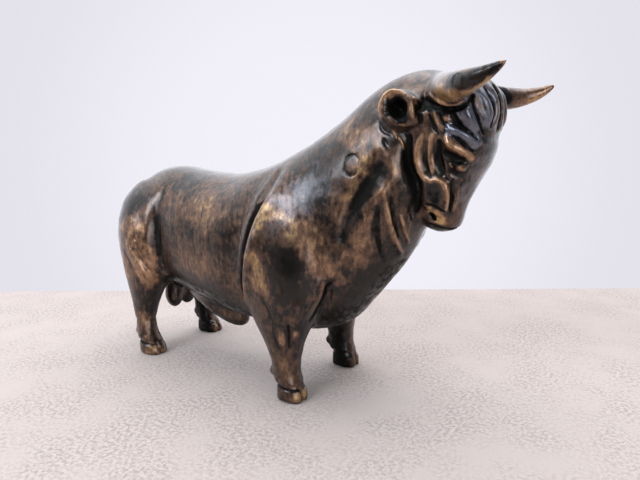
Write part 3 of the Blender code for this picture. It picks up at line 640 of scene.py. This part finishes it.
# Colour of the painted silvery sheen and highlights.
PAINTED_SHEEN_COLOUR = (0.155, 0.155, 0.185, 1)
RED_METAL = (0.44, 0.24, 0.12, 1)
YELLOW_METAL = (0.52, 0.335, 0.11, 1)
# Dark colour for grime in the hollows, and also for the painted shade on undersides and inner legs.
GRIME_AND_SHADE = (0.004, 0.0035, 0.0025, 1)


def patina():
    """Brown patina rubbed through to metal, grimy in the hollows, painted shade underneath, painted silvery
    sheen in places.
    """
    n = Nodes("bronze patina")
    attribute = n.add("ShaderNodeAttribute", attribute_name="wear_and_shade")
    parts = n.add("ShaderNodeSeparateColor")
    n.join(attribute.outputs["Color"], parts.inputs["Color"])
    gold, dark, yellow = parts.outputs
    wide = n.math("SUBTRACT", n.noise(75, 3.0, 0.5), 0.5)
    middle = n.math("SUBTRACT", n.noise(420, 5.0, 0.65), 0.5)
    hair = n.math("SUBTRACT", n.noise(1000, 3.0, 0.6, (1, 1, 0.4)), 0.5)
    fine = n.math("MULTIPLY_ADD", middle, 1.4, n.math("MULTIPLY", hair, 1.3))
    mottle = n.math("MULTIPLY_ADD", wide, 1.1, fine)
    rubbed = n.math("MULTIPLY_ADD", gold, 0.85, n.math("ADD", mottle, 0.08))
    rubbed = n.math("MULTIPLY_ADD", dark, -0.8, rubbed)
    brown = n.blend(n.ramp(rubbed, -0.25, 0.5), DEEP_BROWN, WARM_BROWN)
    metal = n.blend(n.ramp(n.math("MULTIPLY_ADD", wide, 1.2, yellow), 0.0, 0.9), RED_METAL, YELLOW_METAL)
    # Painted sheen: the silvery highlights and reflections are painted into the brown.
    painted_sheen = n.add("ShaderNodeAttribute", attribute_name="pale").outputs["Fac"]
    painted_sheen = n.math("MULTIPLY", painted_sheen, n.ramp(n.math("ADD", mottle, painted_sheen), 0.0, 0.8))
    brown = n.blend(painted_sheen, brown, PAINTED_SHEEN_COLOUR)
    colour = n.blend(n.ramp(rubbed, 0.3, 1.15), brown, metal)
    # Grime in the hollows together with painted shade on the undersides and inner legs.
    grime_and_shade = n.ramp(n.math("MULTIPLY_ADD", mottle, 0.9, dark), 0.25, 1.0)
    colour = n.blend(grime_and_shade, colour, GRIME_AND_SHADE)
    n.join(colour, n.shader.inputs["Base Color"])
    n.shader.inputs["Metallic"].default_value = 0.85
    rough = n.math("MULTIPLY_ADD", middle, 0.35, n.ramp(rubbed, -0.2, 1.0, 0.39, 0.41))
    rough = n.math("MULTIPLY_ADD", grime_and_shade, 0.25, rough)
    n.join(rough, n.shader.inputs["Roughness"])
    n.join(n.ramp(grime_and_shade, 0.0, 0.7, 0.62, 0.04), n.shader.inputs["Coat Weight"])
    n.shader.inputs["Coat Roughness"].default_value = 0.25
    n.shader.inputs["Coat Tint"].default_value = (0.93, 0.95, 1.0, 1)
    bump = n.add("ShaderNodeBump")
    bump.inputs["Strength"].default_value = 0.6
    bump.inputs["Distance"].default_value = 0.00012
    grain = n.noise(2600, 2.0, 0.6)
    n.join(n.math("MULTIPLY_ADD", grain, 0.5, n.math("ADD", middle, hair)), bump.inputs["Height"])
    n.join(bump.outputs["Normal"], n.shader.inputs["Normal"])
    return n.material


mesh.materials.clear()
mesh.materials.append(patina())

# The camera, placed by the four hooves and the two horn tips.
CAMERA_PLACE = (0.11074 + MIDDLE_X, -0.11865, 0.06634)
CAMERA_TURN = -0.597
CAMERA_DIP = 0.171
CAMERA_ROLL = -0.005
SENSOR_WIDTH = 36  # millimetres
CAMERA_LENS = 518 / 640 * SENSOR_WIDTH

flat_way = Vector((math.sin(CAMERA_TURN), math.cos(CAMERA_TURN), 0))
look = flat_way * math.cos(CAMERA_DIP) - Vector((0, 0, math.sin(CAMERA_DIP)))
right = Vector((math.cos(CAMERA_TURN), -math.sin(CAMERA_TURN), 0))
level_up = right.cross(look)
rolled_right = right * math.cos(CAMERA_ROLL) + level_up * math.sin(CAMERA_ROLL)
rolled_up = rolled_right.cross(look)
camera_data = bpy.data.cameras.new("camera")
camera_data.lens = CAMERA_LENS
camera_data.sensor_width = SENSOR_WIDTH
camera_data.clip_start = 0.005
camera = bpy.data.objects.new("camera", camera_data)
turn = Matrix((rolled_right, rolled_up, -look)).transposed()
camera.matrix_world = Matrix.Translation(CAMERA_PLACE) @ turn.to_4x4()
bpy.context.scene.collection.objects.link(camera)
bpy.context.scene.camera = camera

# The table top. Its far edge is where the photograph shows it. Its near edge is close to the
# camera's foot, so that the bull's front doesn't mirror the bright table.
TABLE_EDGES = (0.02, 0.2425)
TABLE_HALF_WIDTH = 1.5
eye = Vector((CAMERA_PLACE[0], CAMERA_PLACE[1], 0))
corners = [eye + flat_way * TABLE_EDGES[far] + right * across
           for far, across in ((0, -TABLE_HALF_WIDTH), (0, TABLE_HALF_WIDTH),
                               (1, TABLE_HALF_WIDTH), (1, -TABLE_HALF_WIDTH))]
floor_mesh = bpy.data.meshes.new("table")
floor_mesh.from_pydata(corners, [], [(0, 1, 2, 3)])
floor = bpy.data.objects.new("table", floor_mesh)
bpy.context.scene.collection.objects.link(floor)


def table_top():
    """Pale, sandy and matt."""
    n = Nodes("table top")
    speckle = n.noise(1100, 3.0, 0.7)
    cloud = n.noise(45, 4.0, 0.6)
    colour = n.blend(n.ramp(speckle, 0.36, 0.62), (0.325, 0.267, 0.244, 1), (0.52, 0.442, 0.41, 1))
    colour = n.blend(n.ramp(cloud, 0.35, 0.7), colour, (0.475, 0.402, 0.37, 1))
    n.join(colour, n.shader.inputs["Base Color"])
    n.shader.inputs["Roughness"].default_value = 0.9
    bump = n.add("ShaderNodeBump")
    bump.inputs["Strength"].default_value = 0.2
    bump.inputs["Distance"].default_value = 0.0002
    n.join(speckle, bump.inputs["Height"])
    n.join(bump.outputs["Normal"], n.shader.inputs["Normal"])
    return n.material


floor_mesh.materials.append(table_top())


def studio_world():
    """A pale room, brightest behind and above the bull and darkest behind the camera.

    The camera sees a plain wall in its place, lightest behind the bull.
    """
    world = bpy.data.worlds.new("studio")
    world.use_nodes = True
    tree = world.node_tree
    coords = tree.nodes.new("ShaderNodeTexCoord")

    def glow(way, start, end, least, most):
        """A strength that grows towards one direction of the room."""
        along = tree.nodes.new("ShaderNodeVectorMath")
        along.operation = "DOT_PRODUCT"
        along.inputs[1].default_value = way.normalized()
        spread = tree.nodes.new("ShaderNodeMapRange")
        spread.interpolation_type = "SMOOTHSTEP"
        limits = {"From Min": start, "From Max": end, "To Min": least, "To Max": most}
        for name, number in limits.items():
            spread.inputs[name].default_value = number
        tree.links.new(coords.outputs["Generated"], along.inputs[0])
        tree.links.new(along.outputs["Value"], spread.inputs["Value"])
        return spread.outputs["Result"]

    lit = tree.nodes["Background"]
    lit.inputs["Color"].default_value = (0.90, 0.94, 1.0, 1)
    way = flat_way * 0.9 - right * 0.15 + Vector((0, 0, 0.4))
    tree.links.new(glow(way, -0.3, 0.8, 0.15, 1.9), lit.inputs["Strength"])
    wall = tree.nodes.new("ShaderNodeBackground")
    wall.inputs["Color"].default_value = (0.93, 0.92, 1.0, 1)
    wall_glow = glow(flat_way - Vector((0, 0, 0.05)), 0.84, 1.0, 0.83, 0.96)
    tree.links.new(wall_glow, wall.inputs["Strength"])
    path = tree.nodes.new("ShaderNodeLightPath")
    either = tree.nodes.new("ShaderNodeMixShader")
    tree.links.new(path.outputs["Is Camera Ray"], either.inputs[0])
    tree.links.new(lit.outputs[0], either.inputs[1])
    tree.links.new(wall.outputs[0], either.inputs[2])
    tree.links.new(either.outputs[0], tree.nodes["World Output"].inputs["Surface"])
    return world


bpy.context.scene.world = studio_world()


LIGHT_DISTANCE = 0.80
# Name, azimuth and height in degrees, size, radiance and colour.
SOFTBOXES = (
    ("window", -108, 31, (0.44, 0.25), 13.0, (0.80, 0.89, 1.0)),
    ("side window", -165, 38, (0.45, 0.20), 0.6, (0.90, 0.94, 1.0)),
    ("room", -36, 6, (0.46, 0.46), 4.5, (0.88, 0.93, 1.0)),
    ("ceiling", 90, 84, (0.8, 0.8), 2.3, (0.97, 0.98, 1.0)),
)


def softbox(name, azimuth, height, size, radiance, colour):
    """An area light that faces the bull and that the camera doesn't see."""
    light = bpy.data.lights.new(name, "AREA")
    light.shape = "RECTANGLE"
    light.size, light.size_y = size
    light.energy = radiance * math.pi * size[0] * size[1]
    light.color = colour
    obj = bpy.data.objects.new(name, light)
    turn, rise = math.radians(azimuth), math.radians(height)
    way = Vector((math.cos(rise) * math.cos(turn), math.cos(rise) * math.sin(turn), math.sin(rise)))
    place = Vector((0, 0, 0.05)) + way * LIGHT_DISTANCE
    obj.matrix_world = Matrix.Translation(place) @ way.to_track_quat("Z", "Y").to_matrix().to_4x4()
    obj.visible_camera = False
    bpy.context.scene.collection.objects.link(obj)


for row in SOFTBOXES:
    softbox(*row)

# A camera's own contrast, which the pale default leaves out.
bpy.context.scene.view_settings.view_transform = "Standard"
